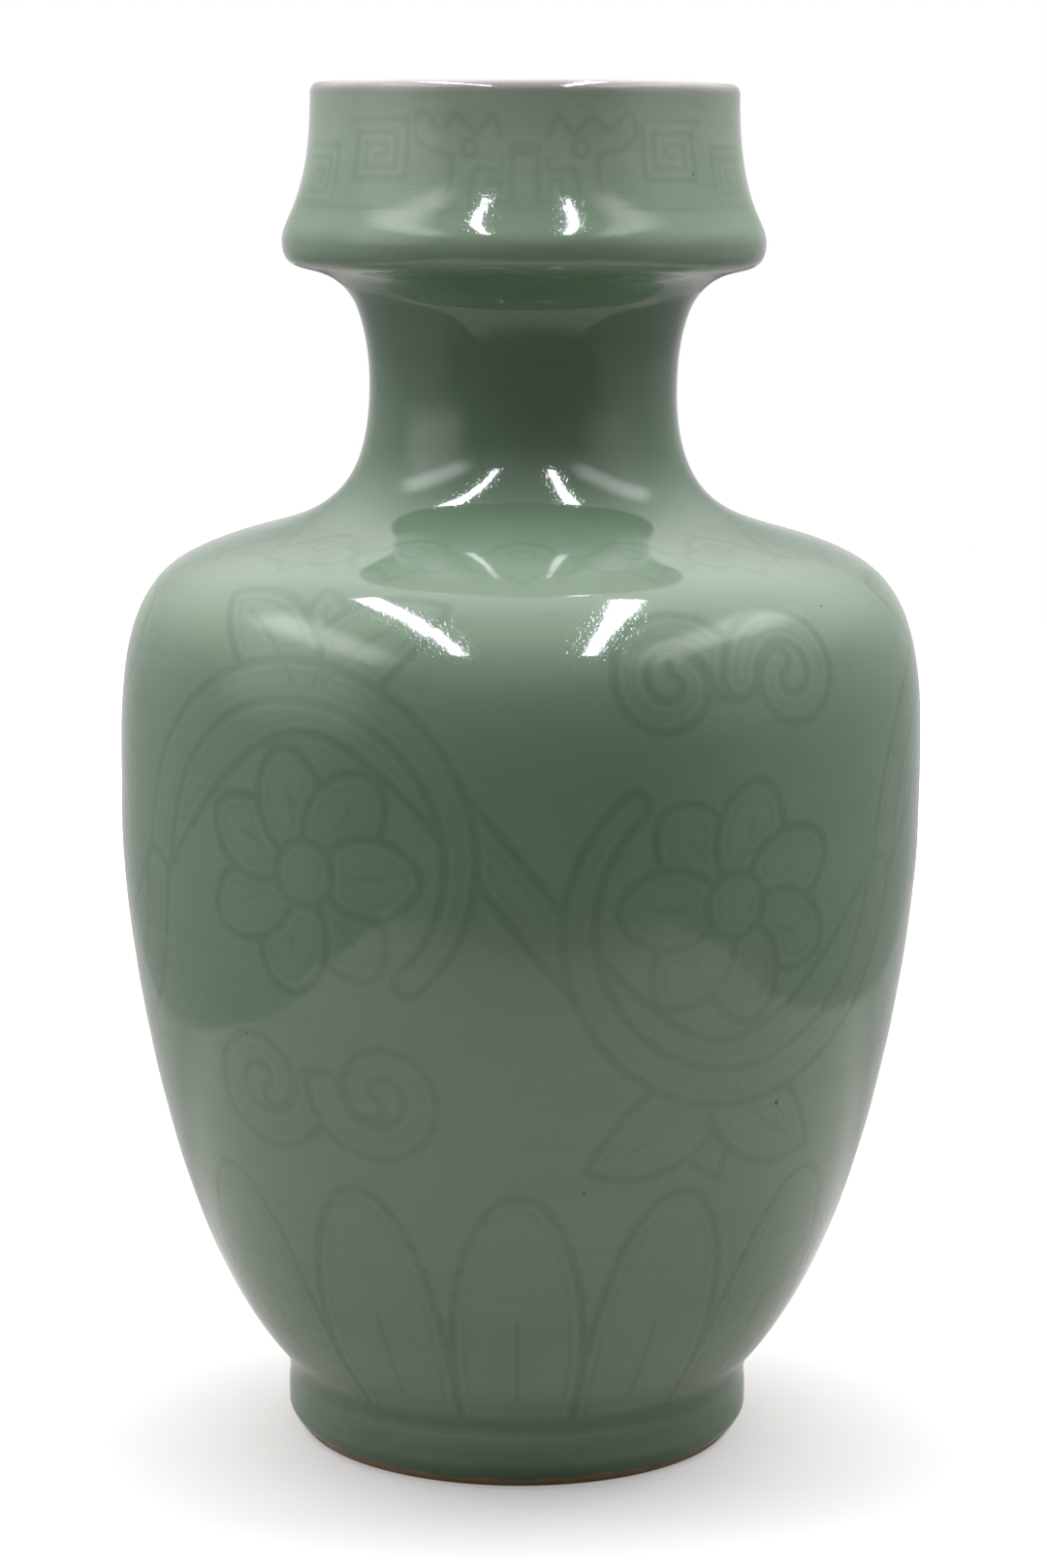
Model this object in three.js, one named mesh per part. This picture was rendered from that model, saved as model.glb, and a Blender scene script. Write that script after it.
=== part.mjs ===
import * as THREE from 'three';

// A celadon vase as a potter builds it: thrown sections and a base disc, luted together with rings of slip.
// Millimetres, +Z up. The origin is the centre of the foot, on the surface that the vase stands on.

// Heights of the stretches of wall, from the foot up
const FOOT_HEIGHT = 21.6; // rest to the crease under the body
const LOWER_BODY_HEIGHT = 164.4; // crease to the widest ring of the belly
const SHOULDER_HEIGHT = 78; // belly to the turn of the shoulder
const COLLAR_HEIGHT = 24.8; // turn of the shoulder to the bottom of the neck
const NECK_LOWER_HEIGHT = 24.9; // bottom of the neck to its waist
const NECK_UPPER_HEIGHT = 24.9; // waist to the top of the neck
const CUP_FLOOR_HEIGHT = 17.1; // top of the neck to the swelling of the cup
const CUP_WALL_HEIGHT = 45.2; // swelling to the top of the lip

// Outside radii, and how far each wall stands out from or behind its neighbour
const LIP_RADIUS = 62.3;
const CUP_SWELL = 8.2; // swelling, out from the lip
const WAIST_RADIUS = 45.1;
const NECK_TOP_FLARE = 4.7; // top of the neck, out from the waist
const NECK_BOTTOM_FLARE = 4.9; // bottom of the neck, out from the waist
const BELLY_RADIUS = 118.1;
const SHOULDER_SETBACK = 19.1; // turn of the shoulder, in from the belly
const CREASE_RADIUS = 68;
const FOOT_SWELL = 1.1; // fullest ring of the foot, out from the crease
const FOOT_TUCK = 3.9; // bottom edge of the foot, in from its fullest ring
const FOOT_SHOULDER_DROP = 13.6; // crease down to the fullest ring of the foot

// Dip of the wall, travelling down it, in degrees below the horizontal: 90 is upright, more leans inward
const UPRIGHT = 90;
const NECK_TOP_DIP = 121;
const NECK_BOTTOM_DIP = 61.6;
const SHOULDER_DIP = 28.5;
const CREASE_DIP = 135.5;
const FLOOR_DIP = 150; // inside of the lower body, where it meets the base disc
const FOOT_SHOULDER_DIP = 76;
const FOOT_EDGE_DIP = 128;

// Wall thicknesses, square to the wall
const LIP_WALL = 4.6;
const LIP_CROWN = 2.9; // height of the rounded top of the lip
const CUP_WALL = 7;
const NECK_WALL = 6;
const SHOULDER_WALL = 7;
const BELLY_WALL = 7.5;

// Base disc and its rebate in the foot ring
const BASE_THICKNESS = 7.6;
const BASE_SAG = 2; // the disc is a shallow saucer
const REBATE_WALL = 8.4; // foot ring outside the rebate, at the crease
const LEDGE_WIDTH = 5; // what the disc rests on
const FLOOR_LAP = 6; // how far the lower body reaches in over the disc
const RIM_WIDTH = 6.3; // flat ring that the vase stands on
const RIM_CHAMFER = 1.2;

// Luting
const SLIP = 1.2; // thickness of each ring of slip
const BEAD = 1.5; // what is squeezed out on the inside of a joint

const SEGMENTS = 48;
const BEAD_STEPS = 3;
const LIP_STEPS = 4;

// How strongly a curve leaves the first and reaches the second end of its span, as shares of the span
const CUP_WALL_BEND = [0.739, 0.162];
const CUP_FLOOR_BEND = [0.473, 0.588];
const NECK_UPPER_BEND = [0.091, 0.576];
const NECK_LOWER_BEND = [0.444, 0.256];
const COLLAR_BEND = [0.355, 0.391];
const SHOULDER_BEND = [0.304, 0.438];
const LOWER_BODY_BEND = [0.138, 0.319];
const FOOT_SHOULDER_BEND = [0.42, 0.3];
const FOOT_BEND = [0.3, 0.27];

const GLAZE = { color: 0x6f8a70, roughness: 0.12, metalness: 0 };
const CLAY = { color: 0x9a8d79, roughness: 0.85, metalness: 0 };

const vase = new THREE.Group();
vase.name = 'celadon_vase';

// A place on the wall: its outside and inside points and the direction down the wall.
function station(radius, height, dip, wall) {
  const angle = THREE.MathUtils.degToRad(dip);
  const along = new THREE.Vector2(Math.cos(angle), -Math.sin(angle));
  const outward = new THREE.Vector2(-along.y, along.x);
  const outside = new THREE.Vector2(radius, height);
  const inside = outside.clone().addScaledVector(outward, -wall);
  return { outside, inside, along, outward };
}

// The same place moved down the wall, or up it where the distance is negative.
function slide(place, distance) {
  const outside = place.outside.clone().addScaledVector(place.along, distance);
  const inside = place.inside.clone().addScaledVector(place.along, distance);
  return { ...place, outside, inside };
}

// Points down one face of the wall from one station to the next.
function span(from, to, face, [leave, reach], steps) {
  const start = from[face];
  const end = to[face];
  const length = start.distanceTo(end);
  const first = start.clone().addScaledVector(from.along, leave * length);
  const second = end.clone().addScaledVector(to.along, -reach * length);
  return new THREE.CubicBezierCurve(start, first, second, end).getPoints(steps);
}

// Points down one face of the wall through several stations.
function wallFace(places, bends, face, steps) {
  const points = [places[0][face]];
  bends.forEach((bend, i) => {
    points.push(...span(places[i], places[i + 1], face, bend, steps[i]).slice(1));
  });
  return points;
}

// Part of an ellipse, for the lip and the beads of slip.
function arcPoints(centre, across, along, halfWidth, height, steps) {
  const points = [];
  for (let i = 1; i < steps; i += 1) {
    const angle = (Math.PI * i) / steps;
    const point = centre.clone();
    point.addScaledVector(across, halfWidth * Math.cos(angle));
    point.addScaledVector(along, height * Math.sin(angle));
    points.push(point);
  }
  return points;
}

// Turns a profile about the axis. A closed profile runs up the outside and down the inside.
function revolve(name, profile, finish, closed = true) {
  const outline = closed ? [...profile, profile[0]] : profile;
  const geometry = new THREE.LatheGeometry(outline, SEGMENTS);
  geometry.rotateX(Math.PI / 2);
  const mesh = new THREE.Mesh(geometry, new THREE.MeshStandardMaterial(finish));
  mesh.name = name;
  vase.add(mesh);
}

// A thrown section between two stations, with its ends cut square to the wall.
function thrownSection(name, outside, inside, top = []) {
  revolve(name, [...outside.toReversed(), ...top, ...inside], GLAZE);
}

// A ring of slip that fills the gap at a station, with a bead squeezed out on the inside.
function lutingRing(name, joint) {
  const upper = slide(joint, -SLIP / 2);
  const lower = slide(joint, SLIP / 2);
  const inward = joint.outward.clone().negate();
  const upward = joint.along.clone().negate();
  const bead = arcPoints(joint.inside, upward, inward, SLIP / 2, BEAD, BEAD_STEPS);
  revolve(name, [lower.outside, upper.outside, upper.inside, ...bead, lower.inside], CLAY);
}

// Stations from the lip down
const bellyHeight = FOOT_HEIGHT + LOWER_BODY_HEIGHT;
const shoulderTurnHeight = bellyHeight + SHOULDER_HEIGHT;
const neckBottomHeight = shoulderTurnHeight + COLLAR_HEIGHT;
const waistHeight = neckBottomHeight + NECK_LOWER_HEIGHT;
const neckTopHeight = waistHeight + NECK_UPPER_HEIGHT;
const swellHeight = neckTopHeight + CUP_FLOOR_HEIGHT;
const lipHeight = swellHeight + CUP_WALL_HEIGHT;

const lip = station(LIP_RADIUS, lipHeight - LIP_CROWN, UPRIGHT, LIP_WALL);
const swell = station(LIP_RADIUS + CUP_SWELL, swellHeight, UPRIGHT, CUP_WALL);
const neckTop = station(WAIST_RADIUS + NECK_TOP_FLARE, neckTopHeight, NECK_TOP_DIP, NECK_WALL);
const waist = station(WAIST_RADIUS, waistHeight, UPRIGHT, NECK_WALL);
const neckBottom = station(WAIST_RADIUS + NECK_BOTTOM_FLARE, neckBottomHeight, NECK_BOTTOM_DIP, NECK_WALL);
const shoulderTurn = station(BELLY_RADIUS - SHOULDER_SETBACK, shoulderTurnHeight, SHOULDER_DIP, SHOULDER_WALL);
const belly = station(BELLY_RADIUS, bellyHeight, UPRIGHT, BELLY_WALL);

// Base disc, rebate and foot
const rebateRadius = CREASE_RADIUS - REBATE_WALL;
const baseRadius = rebateRadius - SLIP;
const ledgeRadius = baseRadius - LEDGE_WIDTH;
const floorRadius = baseRadius - FLOOR_LAP;
const footTopHeight = FOOT_HEIGHT - SLIP / 2;
const bodyBottomHeight = FOOT_HEIGHT + SLIP / 2;
const baseUnderHeight = footTopHeight - BASE_THICKNESS;
const ledgeHeight = baseUnderHeight - SLIP;
const footRadius = CREASE_RADIUS + FOOT_SWELL;
const footEdgeRadius = footRadius - FOOT_TUCK;

// Mouth cup: lip, hollow-curved wall, swelling and undercut floor
{
  const places = [lip, swell, slide(neckTop, -SLIP / 2)];
  const bends = [CUP_WALL_BEND, CUP_FLOOR_BEND];
  const outside = wallFace(places, bends, 'outside', [5, 7]);
  const inside = wallFace(places, bends, 'inside', [4, 5]);
  const crownCentre = lip.outside.clone().add(lip.inside).multiplyScalar(0.5);
  const upward = lip.along.clone().negate();
  const crown = arcPoints(crownCentre, lip.outward, upward, LIP_WALL / 2, LIP_CROWN, LIP_STEPS);
  thrownSection('mouth_cup', outside, inside, crown);
}
lutingRing('mouth_luting', neckTop);

// Neck: a waisted tube between the two bevelled joints
{
  const places = [slide(neckTop, SLIP / 2), waist, slide(neckBottom, -SLIP / 2)];
  const bends = [NECK_UPPER_BEND, NECK_LOWER_BEND];
  const outside = wallFace(places, bends, 'outside', [4, 4]);
  const inside = wallFace(places, bends, 'inside', [3, 3]);
  thrownSection('neck', outside, inside);
}
lutingRing('neck_luting', neckBottom);

// Shoulder: from its upturned collar over the turn to the widest ring
{
  const places = [slide(neckBottom, SLIP / 2), shoulderTurn, slide(belly, -SLIP / 2)];
  const bends = [COLLAR_BEND, SHOULDER_BEND];
  const outside = wallFace(places, bends, 'outside', [7, 7]);
  const inside = wallFace(places, bends, 'inside', [5, 6]);
  thrownSection('shoulder', outside, inside);
}
lutingRing('belly_luting', belly);

// Lower body: a bowl with an open bottom, cut flat where it stands on the foot ring and the base disc
{
  const top = slide(belly, SLIP / 2);
  const crease = station(CREASE_RADIUS, bodyBottomHeight, CREASE_DIP, 0);
  const floor = station(floorRadius, bodyBottomHeight, FLOOR_DIP, 0);
  const outside = wallFace([top, crease], [LOWER_BODY_BEND], 'outside', [10]);
  const inside = wallFace([top, floor], [LOWER_BODY_BEND], 'inside', [8]);
  thrownSection('lower_body', outside, inside);
}

// Flat ring of slip over the foot ring and the edge of the base disc
{
  const middle = new THREE.Vector2(floorRadius, FOOT_HEIGHT);
  const inward = new THREE.Vector2(-1, 0);
  const upward = new THREE.Vector2(0, 1);
  const profile = [
    new THREE.Vector2(CREASE_RADIUS, footTopHeight),
    new THREE.Vector2(CREASE_RADIUS, bodyBottomHeight),
    new THREE.Vector2(floorRadius, bodyBottomHeight),
    ...arcPoints(middle, upward, inward, SLIP / 2, BEAD, BEAD_STEPS),
    new THREE.Vector2(floorRadius, footTopHeight),
    new THREE.Vector2(baseRadius, footTopHeight),
    new THREE.Vector2(rebateRadius, footTopHeight),
  ];
  revolve('foot_luting', profile, CLAY);
}

// Foot ring: rounded outside, flat rim, sloping inside and the rebate that holds the base disc
{
  const crease = station(CREASE_RADIUS, footTopHeight, FOOT_SHOULDER_DIP, 0);
  const fullest = station(footRadius, FOOT_HEIGHT - FOOT_SHOULDER_DROP, UPRIGHT, 0);
  const edge = station(footEdgeRadius, RIM_CHAMFER, FOOT_EDGE_DIP, 0);
  const bends = [FOOT_SHOULDER_BEND, FOOT_BEND];
  const outside = wallFace([crease, fullest, edge], bends, 'outside', [4, 4]);
  const rimOuter = footEdgeRadius - RIM_CHAMFER;
  const rimInner = rimOuter - RIM_WIDTH;
  const inside = [
    new THREE.Vector2(rebateRadius, footTopHeight),
    new THREE.Vector2(rebateRadius, ledgeHeight),
    new THREE.Vector2(ledgeRadius, ledgeHeight),
    new THREE.Vector2(rimInner - RIM_CHAMFER, RIM_CHAMFER),
    new THREE.Vector2(rimInner, 0),
    new THREE.Vector2(rimOuter, 0),
  ];
  thrownSection('foot_ring', outside, inside);
}

// Base disc: a saucer with a flat edge, bedded in the rebate
{
  const under = new THREE.QuadraticBezierCurve(
    new THREE.Vector2(0, baseUnderHeight - BASE_SAG),
    new THREE.Vector2(ledgeRadius / 2, baseUnderHeight - BASE_SAG),
    new THREE.Vector2(ledgeRadius, baseUnderHeight),
  );
  const over = new THREE.QuadraticBezierCurve(
    new THREE.Vector2(floorRadius, footTopHeight),
    new THREE.Vector2(floorRadius / 2, footTopHeight - BASE_SAG),
    new THREE.Vector2(0, footTopHeight - BASE_SAG),
  );
  const profile = [
    ...under.getPoints(3),
    new THREE.Vector2(baseRadius, baseUnderHeight),
    new THREE.Vector2(baseRadius, footTopHeight),
    ...over.getPoints(3),
  ];
  revolve('base_disc', profile, GLAZE, false);
}

// L-shaped bed of slip under and round the base disc
{
  const profile = [
    new THREE.Vector2(ledgeRadius, ledgeHeight),
    new THREE.Vector2(rebateRadius, ledgeHeight),
    new THREE.Vector2(rebateRadius, footTopHeight),
    new THREE.Vector2(baseRadius, footTopHeight),
    new THREE.Vector2(baseRadius, baseUnderHeight),
    new THREE.Vector2(ledgeRadius, baseUnderHeight),
  ];
  revolve('base_luting', profile, CLAY);
}

export default vase;
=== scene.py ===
"""A celadon vase: glazed skins, incised ornament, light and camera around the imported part.

Sizes of the vase are in millimetres, as in the part's source, until a mesh is made in metres. The camera,
floor and lamps are in metres.
"""

import math

import bpy
import numpy as np
from mathutils import Matrix, Vector


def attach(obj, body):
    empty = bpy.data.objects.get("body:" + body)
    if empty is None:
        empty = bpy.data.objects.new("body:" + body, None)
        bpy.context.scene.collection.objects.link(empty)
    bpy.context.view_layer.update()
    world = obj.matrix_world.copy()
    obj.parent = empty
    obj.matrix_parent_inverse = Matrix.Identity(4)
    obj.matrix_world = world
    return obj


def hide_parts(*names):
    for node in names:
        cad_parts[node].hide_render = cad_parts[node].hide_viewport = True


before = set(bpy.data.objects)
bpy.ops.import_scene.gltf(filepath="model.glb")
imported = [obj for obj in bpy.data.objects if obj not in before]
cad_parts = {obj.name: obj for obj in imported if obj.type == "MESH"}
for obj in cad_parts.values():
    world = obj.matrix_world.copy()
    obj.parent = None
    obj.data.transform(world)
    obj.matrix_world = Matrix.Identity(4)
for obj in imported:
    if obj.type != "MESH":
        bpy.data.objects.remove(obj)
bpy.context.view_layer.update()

METRE = 1000.0

# Wall stations from the lip down: radius, height, dip below level on the way down, any wall thickness
HEIGHT = 400.9
LIP_CROWN = 2.9  # the rounded lip rises this far above its station
CREASE_RADIUS, CREASE_HEIGHT = 68.0, 21.6
LIP = (62.3, HEIGHT - LIP_CROWN, 90, 4.6)
SWELL = (70.5, 355.7, 90, 7.0)
NECK_TOP = (49.8, 338.6, 121, 6.0)
WAIST = (45.1, 313.7, 90, 6.0)
NECK_BOTTOM = (50.0, 288.8, 61.6, 6.0)
SHOULDER_TURN = (99.0, 264.0, 28.5, 7.0)
BELLY = (118.1, 186.0, 90, 7.5)
CREASE = (CREASE_RADIUS, CREASE_HEIGHT, 135.5)
FOOT_TOP = (CREASE_RADIUS, CREASE_HEIGHT, 76)
FOOT_FULLEST = (69.1, 8.0, 90)
FOOT_EDGE = (65.2, 1.2, 128)

# How strongly each curve leaves and reaches the ends of its span, as shares of the span
CUP_WALL_BEND = (0.739, 0.162)
CUP_FLOOR_BEND = (0.473, 0.588)
NECK_UPPER_BEND = (0.091, 0.576)
NECK_LOWER_BEND = (0.444, 0.256)
COLLAR_BEND = (0.355, 0.391)
SHOULDER_BEND = (0.304, 0.438)
LOWER_BODY_BEND = (0.138, 0.319)
FOOT_SHOULDER_BEND = (0.42, 0.3)
FOOT_BEND = (0.3, 0.27)

# Foot, base disc and luting
RIM_OUTER, RIM_INNER, RIM_CHAMFER = 64.0, 57.7, 1.2
RIM_ROUNDING = 0.55  # how far from each corner under the foot its rounding starts
LEDGE_RADIUS, LEDGE_HEIGHT = 53.4, 12.2
REBATE_RADIUS, BASE_RADIUS, FLOOR_RADIUS = 59.6, 58.4, 52.4
BASE_UNDER, BASE_TOP, BASE_SAG = 13.4, 21.0, 2.0
FLOOR_DIP = 150
SLIP, BEAD = 1.2, 1.5
GLAZE_SKIN = 0.8  # the glaze runs this deep over each joint
CREASE_FILLET = 6.2  # the glaze pools in the crease, this far to each side
SLIP_EDGE = CREASE_RADIUS - GLAZE_SKIN
SLIP_TOP, SLIP_BOTTOM = CREASE_HEIGHT + SLIP / 2, CREASE_HEIGHT - SLIP / 2

# Throwing ridges inside, by height
NECK_RIDGES, DISC_TOP_RIDGES, DISC_UNDER_RIDGES = 0.12, 0.05, 0.08
RIDGE_LENGTH = 1.1  # along the wall for each radian of a ridge
RIDGE_RUN_IN = 6  # ridges come in over this stretch at each end

# Waves of the glazed wall: height, number round the wall, length down it for each radian, start in radians
WALL_WAVES = (
    (0.10, 2, 160, 0.7),
    (0.06, 3, -47, 0),
    (0.05, 5, 31, 0),
    (0.025, 9, -13, 0),
    (0.03, 1, 4.1, 0),
)
WAVE_RUN_OUT = 12  # the waves end over this stretch above the rim, which is ground flat

# Incised lines, by half width
FINE_LINE, BORDER_LINE, NOSE_LINE, CLOUD_LINE, VEIN = 0.75, 0.45, 1.6, 0.9, 0.6
INNER_LINE = 3.7  # a thin line runs this far inside each outline
FAR = 9.0  # distances from a line are kept up to this

# Grooves of the lines: reach from the middle of the line, width of the sloping side, share of the full depth
GROOVE_DEPTH = 0.035
OUTLINE_CUT = (1.9, 1.4, 1.0)
INNER_CUT = (0.9, 0.8, 0.45)
SINGLE_CUT = (0.6, 1.2, 0.7)
FILL_REACH, FILL_LEAST = 40, 0.25  # this near to the cloud heads the glaze fills grooves, down to this share

# Fineness of the meshes: columns round a piece, and rows or the space between rows down its skin
DENSE = 160  # steps along each span of the profile
CUP_COLUMNS, CUP_SPACE = 576, 0.75
NECK_COLUMNS, NECK_SPACE = 256, 0.9
BODY_COLUMNS, SHOULDER_SPACE, LOWER_BODY_SPACE = 560, 1.25, 1.3
FOOT_COLUMNS, FOOT_ROWS = 384, 110
DISC_COLUMNS = 192
LUTING_COLUMNS = 192
PROBE = 0.2  # the slope of the skin is measured this far to each side
BATCH = 4000  # points whose distances are measured at a time
TINY = 1e-9  # less than any length that counts


# Profile

def station(radius, height, dip, wall=0.0):
    """A place on the wall: its outside and inside points and the directions down and out of the wall."""
    angle = math.radians(dip)
    along = np.array([math.cos(angle), -math.sin(angle)])
    outward = np.array([-along[1], along[0]])
    outside = np.array([radius, height])
    return {"outside": outside, "inside": outside - wall * outward, "along": along, "outward": outward}


def slide(place, distance):
    """The same station moved down the wall."""
    moved = dict(place)
    for face in ("outside", "inside"):
        moved[face] = place[face] + place["along"] * distance
    return moved


def shares(steps):
    """Evenly spaced shares from 0 to 1, one in each row."""
    return np.linspace(0, 1, steps + 1)[:, None]


def span(start, end, bend, face, steps):
    """Points down one face of the wall from one station to the next."""
    first, last = start[face], end[face]
    length = np.linalg.norm(last - first)
    leave = first + start["along"] * bend[0] * length
    reach = last - end["along"] * bend[1] * length
    t = shares(steps)
    return ((1 - t) ** 3 * first + 3 * (1 - t) ** 2 * t * leave
            + 3 * (1 - t) * t ** 2 * reach + t ** 3 * last)


def through(spans):
    """One path through spans that follow each other."""
    return np.vstack([spans[0]] + [points[1:] for points in spans[1:]])


def arch(first, corner, last, t):
    """Points of a curve that leaves its first end towards a corner and reaches its last end from there."""
    return (1 - t) ** 2 * first + 2 * (1 - t) * t * corner + t ** 2 * last


def rounded(points, reach, steps=6):
    """A path of straight lines with each corner replaced by a short curve."""
    path = [points[0]]
    for before, corner, after in zip(points, points[1:], points[2:]):
        start = corner + (before - corner) / np.linalg.norm(before - corner) * reach
        end = corner + (after - corner) / np.linalg.norm(after - corner) * reach
        path.extend(arch(start, corner, end, shares(steps)))
    path.append(points[-1])
    return np.array(path)


def arc_lengths(points):
    """How far along a path each of its points is."""
    return np.r_[0, np.cumsum(np.linalg.norm(np.diff(points, axis=0), axis=1))]


lip = station(*LIP)
swell = station(*SWELL)
neck_top = station(*NECK_TOP)
waist = station(*WAIST)
neck_bottom = station(*NECK_BOTTOM)
shoulder_turn = station(*SHOULDER_TURN)
belly = station(*BELLY)
crease = station(*CREASE)
foot_top = station(*FOOT_TOP)
foot_fullest = station(*FOOT_FULLEST)
foot_edge = station(*FOOT_EDGE)


def lip_crown():
    """The rounded top of the lip, from its inside to just short of its outside."""
    centre = (lip["outside"] + lip["inside"]) / 2
    half = (lip["outside"] - lip["inside"])[0] / 2
    turn = np.linspace(math.pi, 0, 40)[:-1]
    return centre + np.stack([half * np.cos(turn), LIP_CROWN * np.sin(turn)], axis=1)


def skin_profile():
    """The whole outside as one path, from the inside of the lip to the inside of the foot.

    Gives its points, how far along it each point is, and how far along it the named places are.
    """
    walls = through([
        span(lip, swell, CUP_WALL_BEND, "outside", DENSE),
        span(swell, neck_top, CUP_FLOOR_BEND, "outside", DENSE),
        span(neck_top, waist, NECK_UPPER_BEND, "outside", DENSE),
        span(waist, neck_bottom, NECK_LOWER_BEND, "outside", DENSE),
        span(neck_bottom, shoulder_turn, COLLAR_BEND, "outside", DENSE),
        span(shoulder_turn, belly, SHOULDER_BEND, "outside", DENSE),
        span(belly, crease, LOWER_BODY_BEND, "outside", 3 * DENSE),
    ])
    foot = through([
        span(foot_top, foot_fullest, FOOT_SHOULDER_BEND, "outside", DENSE),
        span(foot_fullest, foot_edge, FOOT_BEND, "outside", DENSE),
    ])
    body = np.vstack([lip_crown(), walls])
    body_length = arc_lengths(body)
    body = body[body_length < body_length[-1] - CREASE_FILLET]
    foot = foot[arc_lengths(foot) > CREASE_FILLET]
    fillet = arch(body[-1], crease["outside"], foot[0], shares(steps=24)[1:-1])
    underside = rounded(np.array([
        foot[-1],
        (RIM_OUTER, 0),
        (RIM_INNER, 0),
        (RIM_INNER - RIM_CHAMFER, RIM_CHAMFER),
        (LEDGE_RADIUS, LEDGE_HEIGHT),
    ]), RIM_ROUNDING)
    path = np.vstack([body, fillet, foot, underside[1:]])
    lengths = arc_lengths(path)
    places = {"lip": lip, "mouth": neck_top, "neck": neck_bottom, "turn": shoulder_turn, "belly": belly}
    marks = {}
    for name, place in places.items():
        marks[name] = lengths[np.argmin(np.linalg.norm(path - place["outside"], axis=1))]
    marks["foot"] = lengths[len(body) + len(fillet) // 2]
    marks["edge"] = lengths[len(body) + len(fillet) + len(foot) - 1]
    marks["end"] = lengths[-1]
    return path, lengths, marks


SKIN, SKIN_LENGTH, MARK = skin_profile()
CLOUD_DROP = 9  # the cloud heads are this far below the middle of the collar's span
CLOUD_RING = (MARK["neck"] + MARK["turn"]) / 2 + CLOUD_DROP


def skin_radius(s):
    """The radius of the skin at a distance along it."""
    return np.interp(s, SKIN_LENGTH, SKIN[:, 0])


def skin_point(s):
    """The radius and height of the skin at a distance along it."""
    return np.stack([skin_radius(s), np.interp(s, SKIN_LENGTH, SKIN[:, 1])], axis=-1)


# Ornament: shapes with outlines, and single lines

NO_ORNAMENT = ([], [])


def smooth(points, steps=8):
    """A curve through a few points."""
    points = np.array(points, float)
    padded = np.vstack([2 * points[0] - points[1], points, 2 * points[-1] - points[-2]])
    t = shares(steps)[:-1]
    pieces = []
    for a, b, c, d in zip(padded, padded[1:], padded[2:], padded[3:]):
        pieces.append(0.5 * (2 * b + (c - a) * t + (2 * a - 5 * b + 4 * c - d) * t ** 2
                             + (3 * b - a - 3 * c + d) * t ** 3))
    return np.vstack(pieces + [points[-1:]])


def spiral(centre, outer, inner, start, turns, steps=40):
    """A spiral from its outer to its inner radius, starting at an angle in degrees."""
    t = np.linspace(0, 1, steps)
    radius = outer + (inner - outer) * t
    angle = math.radians(start) + 2 * math.pi * turns * t
    return np.stack([centre[0] + radius * np.cos(angle), centre[1] + radius * np.sin(angle)], axis=1)


def stroke(points, half_width, angle, s, flip=1, turn=0.0):
    """A stroke on the wall: its angles, its distances down the skin and its half widths.

    Its path is given in millimetres right and up from a place on the wall. Angle 0 faces the camera.
    """
    points = np.array(points, float)
    c, d = math.cos(math.radians(turn)), math.sin(math.radians(turn))
    right = c * points[:, 0] - d * points[:, 1]
    up = d * points[:, 0] + c * points[:, 1]
    angles = math.radians(angle) + flip * right / skin_radius(s)
    widths = np.broadcast_to(np.asarray(half_width, float), len(points))
    return angles, s - up, widths


def spot(place, radius, angle, s):
    """A round stroke."""
    return stroke([place, place], radius, angle, s)


def tapered(points, first, last, angle, s, flip=1):
    """A stroke whose half width changes evenly along it."""
    return stroke(points, np.linspace(first, last, len(points)), angle, s, flip)


def circle(centre, radius):
    """A ring, as a path for a stroke."""
    return spiral(centre, radius, radius, start=0, turns=1, steps=16)


def leaf(length, half_width, bow, steps=14):
    """A pointed leaf, fullest near its root, that bows to one side: its middle line and its half widths."""
    t = np.linspace(0, 1, steps)
    path = np.stack([bow * np.sin(math.pi * t), length * t], axis=1)
    return path, half_width * np.sin(math.pi * t ** 0.8) ** 0.9


def key_fret(pitch, segments, stretch):
    """A square spiral, from its middle out."""
    steps = [(1, 0), (0, 1), (-1, 0), (0, -1)]
    points = [np.zeros(2)]
    for i in range(segments):
        points.append(points[-1] + np.array(steps[i % 4]) * pitch * (1 + i // 2))
    points = np.array(points)
    points -= (points.min(axis=0) + points.max(axis=0)) / 2
    return points * (1, stretch)


def mouth_ornament():
    """Two archaic masks with key fret between them, over a border line."""
    mask_drop, border_drop = 20, 13  # down from the lip, and down from the middle of the masks
    frets, first_fret, fret_step = 5, 41, 24.5  # in degrees from a mask
    fret_rises = (3.6, -3.4)  # by turns
    brow = smooth([
        (7, 8), (8.6, 13), (11.4, 10.7), (14.1, 8.4), (19.3, 12.8), (24, 9), (28.4, 13), (31.4, 13),
        (32.2, 8), (28.5, 4.3), (22, 2.6), (20.4, 0), (20.4, -8),
    ])
    cheek = smooth([(5.8, 1.2), (7.2, -2.2), (13.4, -1.5), (14.8, -9)])
    hook = [(3.6, 2), (3.6, -11), (10, -11), (10, -5), (6.6, -5), (6.6, -8)]
    nose = [(-3.2, 4.2), (3.2, 4.2)]
    eye = circle((15.5, 4), 2.2)
    fret = key_fret(pitch=3.7, segments=11, stretch=0.88)
    s = MARK["lip"] + mask_drop
    around = np.linspace(0, 2 * math.pi, 97)
    lines = [(around, np.full_like(around, s + border_drop), np.full_like(around, BORDER_LINE))]
    for mask in (0, 180):
        for flip in (1, -1):
            for path in (brow, cheek, hook, eye):
                lines.append(stroke(path, FINE_LINE, mask, s, flip))
        lines.append(stroke(nose, NOSE_LINE, mask, s))
        for i in range(frets):
            path = fret + (0, fret_rises[i % 2])
            flip = -1 if i < frets // 2 else 1
            lines.append(stroke(path, FINE_LINE, mask + first_fret + fret_step * i, s, flip))
    return [], lines


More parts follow.
